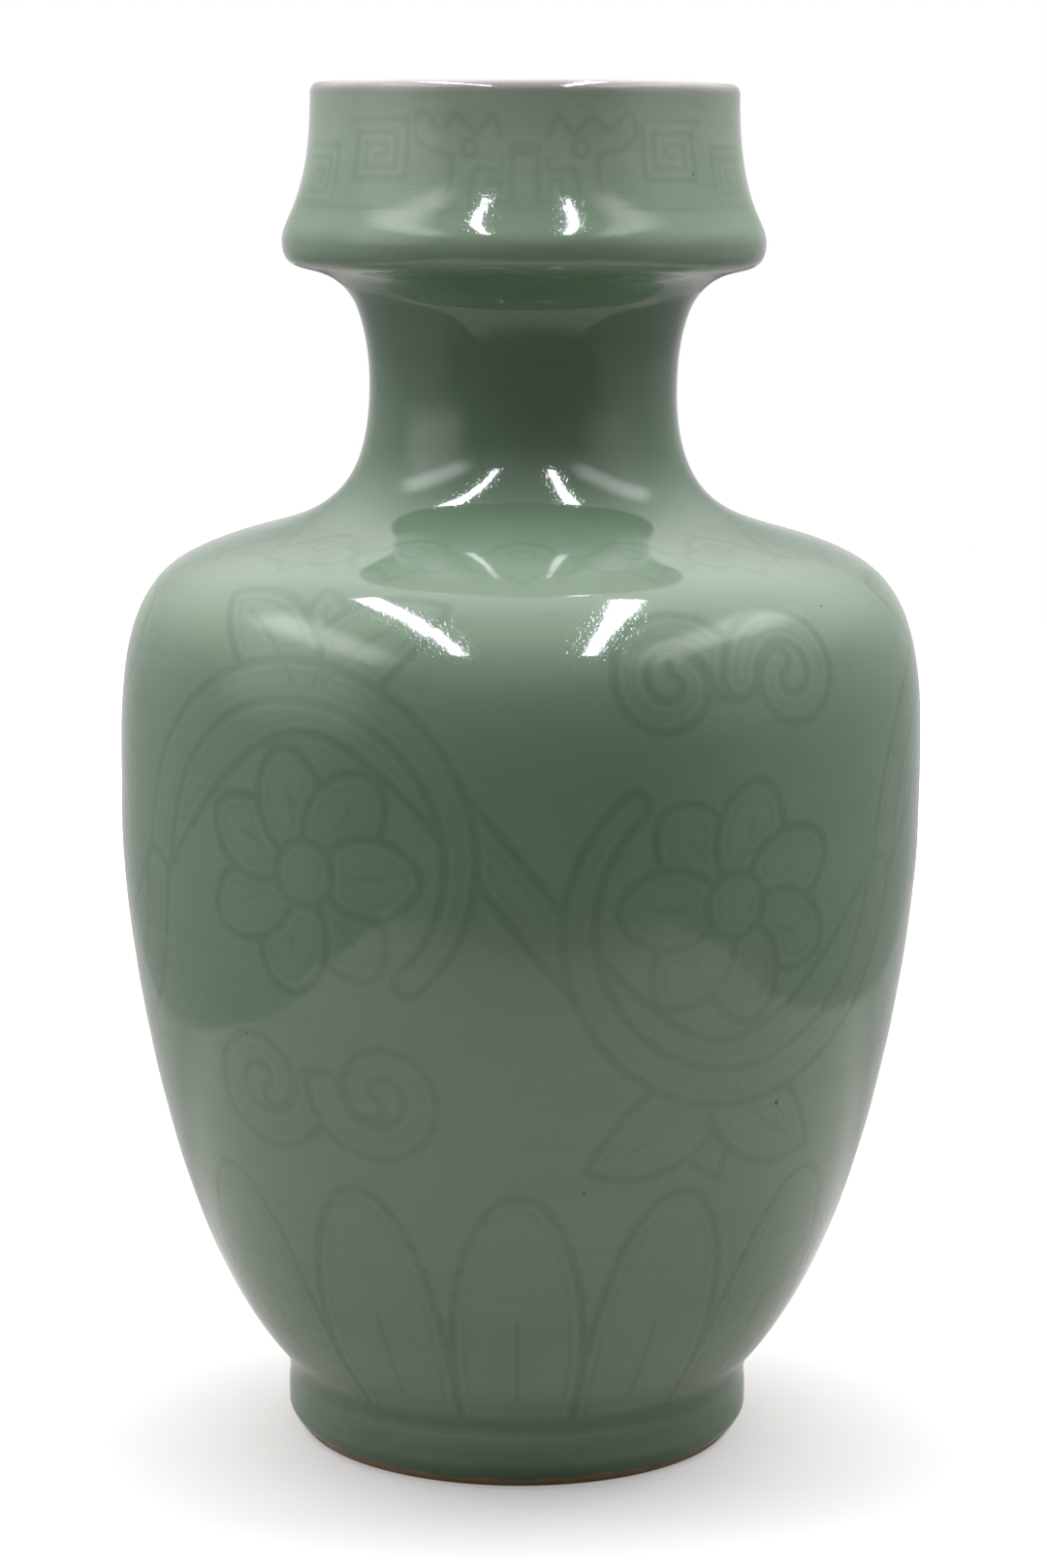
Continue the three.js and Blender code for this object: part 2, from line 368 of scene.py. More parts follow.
def shoulder_ornament():
    """A ring of cloud heads on the top of the shoulder."""
    shapes, lines = [], []
    heads = 16
    for i in range(heads):
        angle = i * 360 / heads
        shapes.append([
            spot((0, 2), 9.5, angle, CLOUD_RING),  # crown
            spot((-9, -3), 6.5, angle, CLOUD_RING),  # lobes
            spot((9, -3), 6.5, angle, CLOUD_RING),
            stroke([(0, -6), (0, -15)], [8, 0.5], angle, CLOUD_RING),  # tail
        ])
        lines.append(stroke(circle((0, 3), 3.6), CLOUD_LINE, angle, CLOUD_RING))
    return shapes, lines


def blossom(angle, s, turn):
    """Pointed petals round a heart, with a vein in each."""
    heart, petals = 9, 7
    shapes = [[spot((0, 0), heart, angle, s)]]
    veins = []
    path, widths = leaf(length=25, half_width=11, bow=0)
    for k in range(petals):
        lean = 360 * k / petals + turn
        shapes.append([stroke(path + (0, heart), widths, angle, s, turn=lean)])
        veins.append(stroke([(0, 15), (0, 24)], VEIN, angle, s, turn=lean))
    return shapes, veins


def leaf_group(angle, s, turn):
    """Three leaves at a bend of the vine, with a vein in each."""
    shapes, veins = [], []
    leaves = ((1, 52, 50), (-1, 52, 50), (1, 6, 36))  # side, lean and length of each
    for flip, lean, length in leaves:
        path, widths = leaf(length, half_width=length / 4, bow=5)
        shapes.append([stroke(path, widths, angle, s, flip, turn + lean)])
        veins.append(stroke(path[2:-3], VEIN, angle, s, flip, turn + lean))
    return shapes, veins


def lappet_ring():
    """Upright lappets side by side that rise from the foot, with a vein in each."""
    shapes, veins = [], []
    lappets, start, length, fullness = 14, 16, 96, 1.03
    t = np.linspace(0, 1, 16)
    s = MARK["foot"] + start - length * t
    widths = fullness * math.pi / lappets * skin_radius(s) * np.sqrt(1 - t ** 3)
    vein = slice(4, 10)
    for i in range(lappets):
        around = np.full_like(t, 2 * math.pi * i / lappets)
        shapes.append([(around, s, widths)])
        veins.append((around[vein], s[vein], np.full_like(t, VEIN)[vein]))
    return shapes, veins


def body_ornament():
    """A running vine with blossoms and curls in its bends, over a ring of upright lappets."""
    shapes, lines = [], []
    waves, swing, vine_half = 3, 49, 6.5
    blossom_shift, curl_shift = 4, 58  # towards the vine, and away from it
    middle = MARK["belly"] + 3
    bends = []
    for i in range(2 * waves):
        low = 1 if i % 2 == 0 else -1  # the vine is low here, or else high
        bends.append(((i + 0.5) * 180 / waves, low))

    def add(group):
        shapes.extend(group[0])
        lines.extend(group[1])

    for angle, low in bends:
        centre = middle + low * blossom_shift
        add(blossom(angle, centre, turn=90 * low))
        branch = spiral((0, 0), outer=60, inner=42, start=90 - 90 * low, turns=-0.62)
        shapes.append([tapered(branch, vine_half, 3.8, angle, centre)])
        curl = spiral((19, 0), outer=17, inner=5, start=180, turns=-1.15 * low)
        for flip in (1, -1):
            shapes.append([tapered(curl, 5.5, 3.5, angle, middle - low * curl_shift, flip)])
    around = np.linspace(0, 2 * math.pi, 241)
    shapes.append([(around, middle + swing * np.sin(waves * around), np.full_like(around, vine_half))])
    for angle, low in bends:
        add(leaf_group(angle, middle + low * swing, turn=90 + low * 90))
    add(lappet_ring())
    return shapes, lines


def wrapped(angle):
    """An angle brought to within half a turn of 0."""
    return (angle + math.pi) % (2 * math.pi) - math.pi


def stroke_distance(angles, s, radius, path):
    """How far points of the wall are from the edge of a stroke; inside it is negative."""
    path_angle, path_s, path_width = path
    across = wrapped(path_angle[None, :] - angles[:, None])
    x, y = across * radius[:, None], path_s[None, :] - s[:, None]
    dx, dy = np.diff(x, axis=1), np.diff(y, axis=1)
    length2 = np.maximum(dx ** 2 + dy ** 2, TINY)
    t = np.clip(-(x[:, :-1] * dx + y[:, :-1] * dy) / length2, 0, 1)
    distance = np.hypot(x[:, :-1] + t * dx, y[:, :-1] + t * dy)
    width = path_width[None, :-1] + t * np.diff(path_width)[None, :]
    broken = np.abs(dx) > math.pi * radius[:, None]  # a segment that wraps round the back
    return np.where(broken, FAR, distance - width).min(axis=1)


def ornament_field(angles, s, ornament):
    """Two distances at each point of a grid on the wall, in millimetres.

    One is to the nearest outline, negative inside a shape, and the other is to the nearest single line.
    """
    shapes, lines = ornament
    grid_angle, grid_s = (a.ravel() for a in np.meshgrid(angles, s))
    radius = skin_radius(grid_s)

    def near(path):
        """The points within reach of a stroke."""
        path_angle, path_s, path_width = path
        middle = (path_angle.min() + path_angle.max()) / 2
        half_turn = (path_angle.max() - path_angle.min()) / 2
        reach = path_width.max() + FAR
        beside = (np.abs(wrapped(grid_angle - middle)) - half_turn) * radius < reach
        level = (grid_s > path_s.min() - reach) & (grid_s < path_s.max() + reach)
        return np.flatnonzero(beside & level)

    def draw(distance, path):
        """Brings distances down to those from one more stroke."""
        chosen = near(path)
        for part in np.array_split(chosen, max(1, len(chosen) // BATCH)):
            found = stroke_distance(grid_angle[part], grid_s[part], radius[part], path)
            distance[part] = np.minimum(distance[part], found)

    field = np.full(grid_angle.shape, FAR)
    union = field.copy()
    for shape in shapes:
        distance = np.full(grid_angle.shape, FAR)
        for path in shape:
            draw(distance, path)
        open_wall = union > 0
        inside = open_wall & (distance < 0)
        outside = open_wall & (distance >= 0)
        field[inside] = -np.minimum(-distance[inside], union[inside])
        field[outside] = np.minimum(union[outside], distance[outside])
        union = np.minimum(union, distance)
    single = np.full(grid_angle.shape, FAR)
    for path in lines:
        draw(single, path)
    both = np.stack([field, single], axis=-1)
    return np.clip(both, -FAR, FAR).reshape(len(s), len(angles), 2)


# Surfaces

def waviness(angles, s):
    """The slight unevenness of a thrown and glazed wall."""
    return sum(height * np.sin(number * angles + start + s / length)
               for height, number, length, start in WALL_WAVES)


def cut(distance, kind):
    """How far a line of one kind is cut at a distance from its middle."""
    reach, slope, share = kind
    return share * np.clip((reach - distance) / slope, 0, 1)


def groove(field):
    """How deep the surface dips at the incised lines."""
    outline = cut(np.abs(field[..., 0]), OUTLINE_CUT)
    inner = cut(np.abs(field[..., 0] + INNER_LINE), INNER_CUT)
    single = cut(field[..., 1], SINGLE_CUT)
    deepest = np.maximum(np.maximum(outline, inner), single)
    return GROOVE_DEPTH * deepest ** 2 * (3 - 2 * deepest)


def ring_angles(columns):
    """The angles of the columns round a piece."""
    return np.arange(columns) * 2 * math.pi / columns


def turned(radius, height, angles):
    """Rings of points: one for each radius and height."""
    x = radius * np.sin(angles)
    y = -radius * np.cos(angles)
    return np.stack([x, y, height + 0 * x], axis=-1)


def raised(path, along, offset, angles):
    """Rings turned from a path, with each point moved out of the surface by its offset."""
    return turned(path[:, :1] - along[:, 1:] * offset, path[:, 1:] + along[:, :1] * offset, angles)


def step_across(points):
    """The way from each point's neighbour on one side to the other."""
    return np.roll(points, -1, axis=1) - np.roll(points, 1, axis=1)


def glazed_strip(start, end, rows, columns, ornament=NO_ORNAMENT):
    """The outside between two places on the skin, with its true normals, and the field of its ornament."""
    angles = ring_angles(columns)
    skin_end = SKIN_LENGTH[-1]
    step = (end - start) / rows
    s = np.clip(start + step * np.arange(-1, rows + 2), 0, skin_end)
    field = ornament_field(angles, s, ornament)
    along = skin_point(np.clip(s + PROBE, 0, skin_end)) - skin_point(np.clip(s - PROBE, 0, skin_end))
    along /= np.linalg.norm(along, axis=1, keepdims=True)
    down = s[:, None]
    settled = np.clip((MARK["edge"] - down) / WAVE_RUN_OUT, 0, 1)
    filled = np.clip(np.abs(down - CLOUD_RING) / FILL_REACH, FILL_LEAST, 1)
    offset = settled * waviness(angles, down) - filled * groove(field)
    points = raised(skin_point(s), along, offset, angles)
    normals = np.cross(points[2:] - points[:-2], step_across(points)[1:-1])
    normals /= np.linalg.norm(normals, axis=2, keepdims=True)
    return points[1:-1], normals, field[1:-1]


def plain_strip(profile, columns, ridges=0.0):
    """A smooth strip turned from a profile, with throwing ridges where asked."""
    profile = np.array(profile, float)
    angles = ring_angles(columns)
    along = np.gradient(profile, axis=0)
    along /= np.linalg.norm(along, axis=1, keepdims=True)
    s = arc_lengths(profile)[:, None]
    run_in = np.clip(np.minimum(s, s[-1] - s) / RIDGE_RUN_IN, 0, 1)
    points = raised(profile, along, ridges * run_in * np.sin(s / RIDGE_LENGTH + angles), angles)
    normals = turned(-along[:, 1:], along[:, :1], angles)
    if len(profile) > 2:
        uneven = np.cross(np.gradient(points, axis=0), step_across(points))
        size = np.linalg.norm(uneven, axis=2, keepdims=True)
        normals = np.where(size > TINY, uneven / np.maximum(size, TINY), normals)
    return points, normals, np.full(points.shape[:2] + (2,), FAR)


def corner_strips(profile, columns):
    """Flat strips with sharp corners between them."""
    return [plain_strip(pair, columns) for pair in zip(profile, profile[1:])]


def stitch(strips, closed):
    """Joins strips that follow each other: vertices, fields, faces, and a normal for each corner of a face.

    Strips that are closed end where they start, and others start and end on the axis.
    """
    columns = strips[0][0].shape[1]
    on_axis = 1e-6
    vertices, fields, faces, normals = [], [], [], []
    count = 0
    first_row, last_row = None, None
    for number, (points, strip_normals, field) in enumerate(strips):
        rows = []
        for i, ring in enumerate(points):
            if i == 0 and last_row is not None:
                rows.append(last_row)
            elif closed and number == len(strips) - 1 and i == len(points) - 1:
                rows.append(first_row)
            elif np.abs(ring[:, :2]).max() < on_axis:
                vertices.append(ring[:1])
                fields.append(field[i, :1])
                rows.append(np.full(columns, count))
                count += 1
            else:
                vertices.append(ring)
                fields.append(field[i])
                rows.append(np.arange(count, count + columns))
                count += columns
            if first_row is None:
                first_row = rows[-1]
        last_row = rows[-1]
        for i in range(len(points) - 1):
            upper, lower = rows[i], rows[i + 1]
            for j in range(columns):
                k = (j + 1) % columns
                corners = [(upper[j], i, j), (lower[j], i + 1, j), (lower[k], i + 1, k), (upper[k], i, k)]
                if upper[j] == upper[k]:
                    corners.pop()
                if lower[j] == lower[k]:
                    corners.pop(1)
                faces.append([c[0] for c in corners])
                normals.extend(strip_normals[c[1], c[2]] for c in corners)
    return np.vstack(vertices), np.concatenate(fields), faces, np.array(normals)


def add_object(name, data):
    """Puts a mesh, a camera or a light in the scene."""
    made = bpy.data.objects.new(name, data)
    bpy.context.scene.collection.objects.link(made)
    return made


def lathe_piece(name, strips, material, nodes, closed=True):
    """One closed mesh from strips that follow each other down the outside and up the inside."""
    vertices, fields, faces, normals = stitch(strips, closed)
    mesh = bpy.data.meshes.new(name)
    mesh.from_pydata((vertices / METRE).tolist(), [], faces)
    mesh.polygons.foreach_set("use_smooth", np.ones(len(mesh.polygons), bool))
    for name_of_field, values in zip(("outline", "single_line"), fields.T):
        attribute = mesh.attributes.new(name_of_field, "FLOAT", "POINT")
        attribute.data.foreach_set("value", values.astype(np.float32))
    mesh.normals_split_custom_set(normals)
    mesh.update()
    mesh.materials.append(material)
    piece = add_object(name, mesh)
    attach(piece, "root")
    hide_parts(*nodes)


# Nodes

def add_node(tree, kind, inputs=None, **settings):
    """Adds a shader node. Each input is a value or another node's output."""
    made = tree.nodes.new(kind)
    for key, value in settings.items():
        setattr(made, key, value)
    for key, value in (inputs or {}).items():
        if isinstance(value, bpy.types.NodeSocket):
            tree.links.new(value, made.inputs[key])
        else:
            made.inputs[key].default_value = value
    return made


def maths(tree, operation, a, b=0.0, clamp=False):
    """A sum or the like of two values."""
    return add_node(tree, "ShaderNodeMath", {0: a, 1: b}, operation=operation, use_clamp=clamp).outputs[0]


def vector_maths(tree, operation, a, b=(0, 0, 0), output="Vector"):
    """A sum or the like of two vectors."""
    return add_node(tree, "ShaderNodeVectorMath", {0: a, 1: b}, operation=operation).outputs[output]


def fade(tree, value, low, high, to_low=0.0, to_high=1.0):
    """A smooth step of a value."""
    inputs = {0: value, 1: low, 2: high, 3: to_low, 4: to_high}
    return add_node(tree, "ShaderNodeMapRange", inputs, interpolation_type="SMOOTHSTEP").outputs[0]


def band(tree, value, rise, fall, share):
    """A share that comes in over one stretch of a value and goes out over another."""
    return maths(tree, "MULTIPLY", fade(tree, value, *rise), fade(tree, value, *fall, share, 0))


def noise(tree, vector, scale, detail=2.0, roughness=0.5):
    """A noise between 0 and 1."""
    inputs = {"Vector": vector, "Scale": scale, "Detail": detail, "Roughness": roughness}
    return add_node(tree, "ShaderNodeTexNoise", inputs).outputs[0]


def blend(tree, factor, a, b):
    """A colour between two others."""
    return add_node(tree, "ShaderNodeMix", {0: factor, 6: a, 7: b}, data_type="RGBA").outputs[2]


def seen(tree):
    """1 where the camera looks straight at a surface, and else 0."""
    path = add_node(tree, "ShaderNodeLightPath").outputs
    return maths(tree, "MAXIMUM", path["Is Camera Ray"], path["Is Transmission Ray"])


def new_material(name):
    """A material and its nodes."""
    material = bpy.data.materials.new(name)
    material.use_nodes = True
    return material, material.node_tree


# Glaze

CELADON = (0.133, 0.205, 0.128, 1)
# deep celadon where the glaze pools, also used for painted shade on the foot
CELADON_DEEP_AND_SHADE = (0.060, 0.105, 0.062, 1)
# pale celadon where the glaze thins, also used for painted light
CELADON_THIN_AND_PAINTED_LIGHT = (0.300, 0.375, 0.270, 1)
# white of the lip, also used for a painted sheen on the top of the shoulder
LIP_WHITE_AND_SHEEN = (0.31, 0.295, 0.265, 1)
BARE_CLAY = (0.22, 0.125, 0.070, 1)
BARE_CLAY_PALE = (0.48, 0.33, 0.20, 1)
SPECK = (0.026, 0.030, 0.020, 1)
GLAZE_IOR = 1.5

# Fades over height: from and to a height, with a share at each
THIN_CUP = (352, 388, 0, 0.80)
LINE_DEPTH = (250, 268, 0.31, 0.18)  # the lines are fainter above the shoulder
# the foot is deeper: glaze pooled at the crease and painted shade over the foot
FOOT_POOL_AND_SHADE = (18, 24, 0.31, 0)
LIP_LINE = (397.2, 399.2, 0, 1)
BARE_RIM = (0, 0.8, 1, 0)

# Bands of height where the glaze is paler, from thinner glaze and from painted light: where they come in,
# where they go out, and their share
THIN_AND_PAINTED_LIGHT_BANDS = (
    # thinner glaze on the edge of the swelling, and painted light under it
    ((343, 354), (356, 366), 0.34),  # swelling of the cup
    # thinner glaze and painted light from above on the top of the shoulder
    ((225, 256), (253, 264), 0.33),  # shoulder
    # painted light that lifts the shade above the crease
    ((20, 24), (28, 58), 0.25),  # lower wall
)
PAINTED_SHEEN_TOP = ((252, 263), (262, 286), 0.23)  # a painted white sheen on the top of the shoulder

# Lines as they look: fades over the distance from the middle of a line
OUTLINE_TONE = (0.4, 2.3, 1, 0)
INNER_TONE = (0.2, 1.2, 0.4, 0)
SINGLE_TONE = (-0.7, 1.0, 0.85, 0)

# Uneven colour: noise scales for each metre, and fades over the noise from lighter to deeper
CLOUD_SCALE, MOTTLE_SCALE, STREAK_SCALE, CLAY_SCALE = 26, 240, 15, 160
STREAK_SQUASH = (1, 1, 13)
CLOUD_TONE = (0.35, 0.65, -0.05, 0.06)
MOTTLE_TONE = (0.3, 0.7, -0.03, 0.03)
STREAK_TONE = (0.35, 0.65, -0.035, 0.045)
LIP_RAGGED_SCALE, LIP_RAGGED = 120, 1.2
RIM_RAGGED_SCALE, RIM_RAGGED = 90, 5

# Roughness: a fade over the clouds, and the bare clay's
GLAZE_ROUGH = (0.3, 0.7, 0.05, 0.085)
CLAY_ROUGH = 0.75

# Grain and orange peel: noise scales for each metre, and heights as shares of the bump's depth in millimetres
GRAIN_SCALE, GRAIN = 1450, (0.58, 0.78, 0, 0.10)
PEEL_SCALE, PEEL_HEIGHT = 190, 0.26
BUMP_DEPTH = 0.4
BUMP_STRENGTH = (0.62, 0.86, 0.25, 0)  # a fade over how level the surface is

# Iron specks in the front of the glaze: angle, height and radius
IRON_SPECKS = (
    (41, 119, 0.75), (43, 114.8, 0.3), (10, 98, 0.45),
    (51, 257.2, 0.5), (-42, 138.5, 0.4), (47, 375.4, 0.4),
)
SINGLE_EDGE = (0.5, 1.3)  # where a single speck starts to fade and ends, as shares of its radius
SPECK_RAGGED = 0.7  # how far the edges of specks are moved about
SPECK_WOBBLE = 1500.0  # scale of that noise for each metre
SCATTERED_LARGEST = 0.7  # radius of scattered specks
SCATTERED_EDGE = (-0.4, 0.1)  # where a scattered speck starts to fade and ends, from its radius
SPECK_CELLS = 42.0  # cells in each metre, some of which hold a scattered speck
EMPTY_CELLS = 0.85  # the share of the cells that hold none


def turned_point(angle, height):
    """The place on the skin at an angle and a height, in metres."""
    down = np.flatnonzero(SKIN_LENGTH > MARK["lip"])
    radius = np.interp(-height, -SKIN[down, 1], SKIN[down, 0])
    return turned(radius, height, math.radians(angle)) / METRE


def speck_mask(tree, place):
    """Single specks where the front has them, and scattered ones all over."""
    ragged = SPECK_RAGGED / METRE
    wobble = add_node(tree, "ShaderNodeTexNoise", {"Vector": place, "Scale": SPECK_WOBBLE}).outputs["Color"]
    moved = vector_maths(tree, "MULTIPLY", wobble, (ragged, ragged, ragged))
    nearby = vector_maths(tree, "ADD", place, moved)
    cells = add_node(tree, "ShaderNodeTexVoronoi", {"Vector": nearby, "Scale": SPECK_CELLS})
    chosen = add_node(tree, "ShaderNodeSeparateColor", {0: cells.outputs["Color"]}).outputs[0]
    size = fade(tree, chosen, EMPTY_CELLS, 1.0, 0.0, SCATTERED_LARGEST / METRE)
    away = maths(tree, "DIVIDE", cells.outputs["Distance"], SPECK_CELLS)
    solid, end = (edge / METRE for edge in SCATTERED_EDGE)
    mask = fade(tree, maths(tree, "SUBTRACT", away, size), solid, end, 1, 0)
    for angle, height, radius in IRON_SPECKS:
        centre = turned_point(angle, height) + ragged / 2
        away = vector_maths(tree, "DISTANCE", nearby, centre, "Value")
        solid, end = (share * radius / METRE for share in SINGLE_EDGE)
        mask = maths(tree, "MAXIMUM", mask, fade(tree, away, solid, end, 1, 0))
    return mask


def line_mask(tree):
    """Where glaze pools in the incised lines."""
    outline = add_node(tree, "ShaderNodeAttribute", attribute_name="outline").outputs["Fac"]
    single = add_node(tree, "ShaderNodeAttribute", attribute_name="single_line").outputs["Fac"]
    inner = maths(tree, "ABSOLUTE", maths(tree, "ADD", outline, INNER_LINE))
    lines = maths(tree, "MAXIMUM", fade(tree, inner, *INNER_TONE), fade(tree, single, *SINGLE_TONE))
    return maths(tree, "MAXIMUM", fade(tree, maths(tree, "ABSOLUTE", outline), *OUTLINE_TONE), lines)


def glaze_colour(tree, place, height, cloudy):
    """Celadon, deeper where it pools in lines and with painted shade on the foot, paler where it thins and
    where light is painted, with a painted white sheen on the top of the shoulder and a white lip.
    """
    # Paler where the glaze thins, with painted light on the cup's swelling, the top of the shoulder and the
    # wall above the crease
    thin_and_painted_light = fade(tree, height, *THIN_CUP)
    for thin_and_painted_light_band in THIN_AND_PAINTED_LIGHT_BANDS:
        thin_and_painted_light = maths(tree, "ADD", thin_and_painted_light, band(tree, height, *thin_and_painted_light_band))
    colour = blend(tree, thin_and_painted_light, CELADON, CELADON_THIN_AND_PAINTED_LIGHT)
    # A painted white sheen on the top of the shoulder
    colour = blend(tree, band(tree, height, *PAINTED_SHEEN_TOP), colour, LIP_WHITE_AND_SHEEN)

    mottled = noise(tree, place, MOTTLE_SCALE, detail=3)
    streaks = noise(tree, vector_maths(tree, "MULTIPLY", place, STREAK_SQUASH), STREAK_SCALE, detail=3)
    depth_and_shade = maths(tree, "MULTIPLY", line_mask(tree), fade(tree, height, *LINE_DEPTH))
    for texture, tone in ((cloudy, CLOUD_TONE), (mottled, MOTTLE_TONE), (streaks, STREAK_TONE)):
        depth_and_shade = maths(tree, "ADD", depth_and_shade, fade(tree, texture, *tone))
    # painted shade over the foot, with glaze pooled at the crease
    depth_and_shade = maths(tree, "ADD", depth_and_shade, fade(tree, height, *FOOT_POOL_AND_SHADE), clamp=True)
    colour = blend(tree, depth_and_shade, colour, CELADON_DEEP_AND_SHADE)

    ragged = maths(tree, "MULTIPLY", noise(tree, place, LIP_RAGGED_SCALE), LIP_RAGGED)
    colour = blend(tree, fade(tree, maths(tree, "ADD", height, ragged), *LIP_LINE), colour, LIP_WHITE_AND_SHEEN)
    return blend(tree, speck_mask(tree, place), colour, SPECK)


def glaze_bump(tree, place):
    """Sparse grain and orange peel, which settle on level surfaces."""
    grain = fade(tree, noise(tree, place, GRAIN_SCALE, detail=0), *GRAIN)
    orange_peel = maths(tree, "MULTIPLY", noise(tree, place, PEEL_SCALE), PEEL_HEIGHT)
    facing = add_node(tree, "ShaderNodeNewGeometry").outputs["Normal"]
    level = maths(tree, "ABSOLUTE", add_node(tree, "ShaderNodeSeparateXYZ", {0: facing}).outputs[2])
    return add_node(tree, "ShaderNodeBump", {
        "Height": maths(tree, "ADD", grain, orange_peel),
        "Strength": fade(tree, level, *BUMP_STRENGTH),
        "Distance": BUMP_DEPTH / METRE,
    }).outputs[0]


def glaze_material(name, bare_rim=False):
    """A coat of celadon glaze, wiped off the rim of the foot where asked."""
    material, tree = new_material(name)
    shader = tree.nodes["Principled BSDF"]
    place = add_node(tree, "ShaderNodeTexCoord").outputs["Object"]
    height = maths(tree, "MULTIPLY", add_node(tree, "ShaderNodeSeparateXYZ", {0: place}).outputs[2], METRE)
    cloudy = noise(tree, place, CLOUD_SCALE, detail=3)
    colour = glaze_colour(tree, place, height, cloudy)
    rough = fade(tree, cloudy, *GLAZE_ROUGH)
    if bare_rim:
        uneven = noise(tree, place, RIM_RAGGED_SCALE, detail=4, roughness=0.6)
        ragged = maths(tree, "MULTIPLY", uneven, RIM_RAGGED)
        bare = fade(tree, maths(tree, "SUBTRACT", height, ragged), *BARE_RIM)
        clay = blend(tree, noise(tree, place, CLAY_SCALE, detail=3), BARE_CLAY, BARE_CLAY_PALE)
        colour = blend(tree, bare, colour, clay)
        rough = maths(tree, "MAXIMUM", rough, maths(tree, "MULTIPLY", bare, CLAY_ROUGH))
    tree.links.new(colour, shader.inputs["Base Color"])
    tree.links.new(rough, shader.inputs["Roughness"])
    tree.links.new(glaze_bump(tree, place), shader.inputs["Normal"])
    shader.inputs["IOR"].default_value = GLAZE_IOR
    return material


glaze = glaze_material("celadon_glaze_coat")
foot_glaze = glaze_material("celadon_foot_coat", bare_rim=True)


# Pieces

def seam_edge(joint, side):
    """The edge of a section at a joint, from the skin in: the glaze laps over the slip.

    Side -1 is above the joint.
    """
    skin = joint["outside"] - GLAZE_SKIN * joint["outward"]
    step = joint["along"] * side * SLIP / 2
    return [joint["outside"], skin, skin + step, joint["inside"] + step]


def section(name, start, end, top_edge, inside, bottom_edge, columns, space,
            ornament=NO_ORNAMENT, ridges=0.0):
    """A thrown section: its skin between two places, and its edges and inside from the top down."""
    rows = int(round((end - start) / space))
    strips = [glazed_strip(start, end, rows, columns, ornament)]
    strips += corner_strips(bottom_edge, columns)
    strips.append(plain_strip(inside[::-1], columns, ridges))
    strips += corner_strips(top_edge[::-1], columns)
    lathe_piece(name + "_glazed", strips, glaze, [name])


def make_mouth_cup():
    """The cup, whose skin starts at the inside of the lip, so it has no top edge."""
    inside = through([
        span(lip, swell, CUP_WALL_BEND, "inside", steps=30),
        span(swell, slide(neck_top, -SLIP / 2), CUP_FLOOR_BEND, "inside", steps=24),
    ])
    section("mouth_cup", 0, MARK["mouth"], [], inside, seam_edge(neck_top, -1), CUP_COLUMNS, CUP_SPACE,
            mouth_ornament())


def make_neck():
    """The waisted tube, with throwing ridges inside."""
    inside = through([
        span(slide(neck_top, SLIP / 2), waist, NECK_UPPER_BEND, "inside", steps=26),
        span(waist, slide(neck_bottom, -SLIP / 2), NECK_LOWER_BEND, "inside", steps=26),
    ])
    section("neck", MARK["mouth"], MARK["neck"], seam_edge(neck_top, 1), inside, seam_edge(neck_bottom, -1),
            NECK_COLUMNS, NECK_SPACE, ridges=NECK_RIDGES)


def make_shoulder():
    """The upper half of the body, where the vine from the lower half goes on."""
    inside = through([
        span(slide(neck_bottom, SLIP / 2), shoulder_turn, COLLAR_BEND, "inside", steps=12),
        span(shoulder_turn, slide(belly, -SLIP / 2), SHOULDER_BEND, "inside", steps=12),
    ])
    ornament = tuple(a + b for a, b in zip(shoulder_ornament(), body_ornament()))
    section("shoulder", MARK["neck"], MARK["belly"], seam_edge(neck_bottom, 1), inside, seam_edge(belly, -1),
            BODY_COLUMNS, SHOULDER_SPACE, ornament)


def make_lower_body():
    """The lower half of the body, which ends in the pool of glaze in the crease."""
    inner_floor = station(FLOOR_RADIUS, SLIP_TOP, FLOOR_DIP)
    inside = span(slide(belly, SLIP / 2), inner_floor, LOWER_BODY_BEND, "inside", steps=20)
    bottom_edge = [
        skin_point(MARK["foot"]),
        (SLIP_EDGE, CREASE_HEIGHT),
        (SLIP_EDGE, SLIP_TOP),
        inner_floor["inside"],
    ]
    section("lower_body", MARK["belly"], MARK["foot"], seam_edge(belly, 1), inside, bottom_edge,
            BODY_COLUMNS, LOWER_BODY_SPACE, body_ornament())


def make_foot_ring():
    """The foot: rounded outside, bare rim, sloping inside and the rebate for the base disc."""
    strips = [glazed_strip(MARK["foot"], MARK["end"], FOOT_ROWS, FOOT_COLUMNS)]
    strips += corner_strips([
        (LEDGE_RADIUS, LEDGE_HEIGHT),
        (REBATE_RADIUS, LEDGE_HEIGHT),
        (REBATE_RADIUS, BASE_TOP),
        (SLIP_EDGE, BASE_TOP),
        (SLIP_EDGE, CREASE_HEIGHT),
        skin_point(MARK["foot"]),
    ], FOOT_COLUMNS)
    lathe_piece("foot_ring_glazed", strips, foot_glaze, ["foot_ring"])


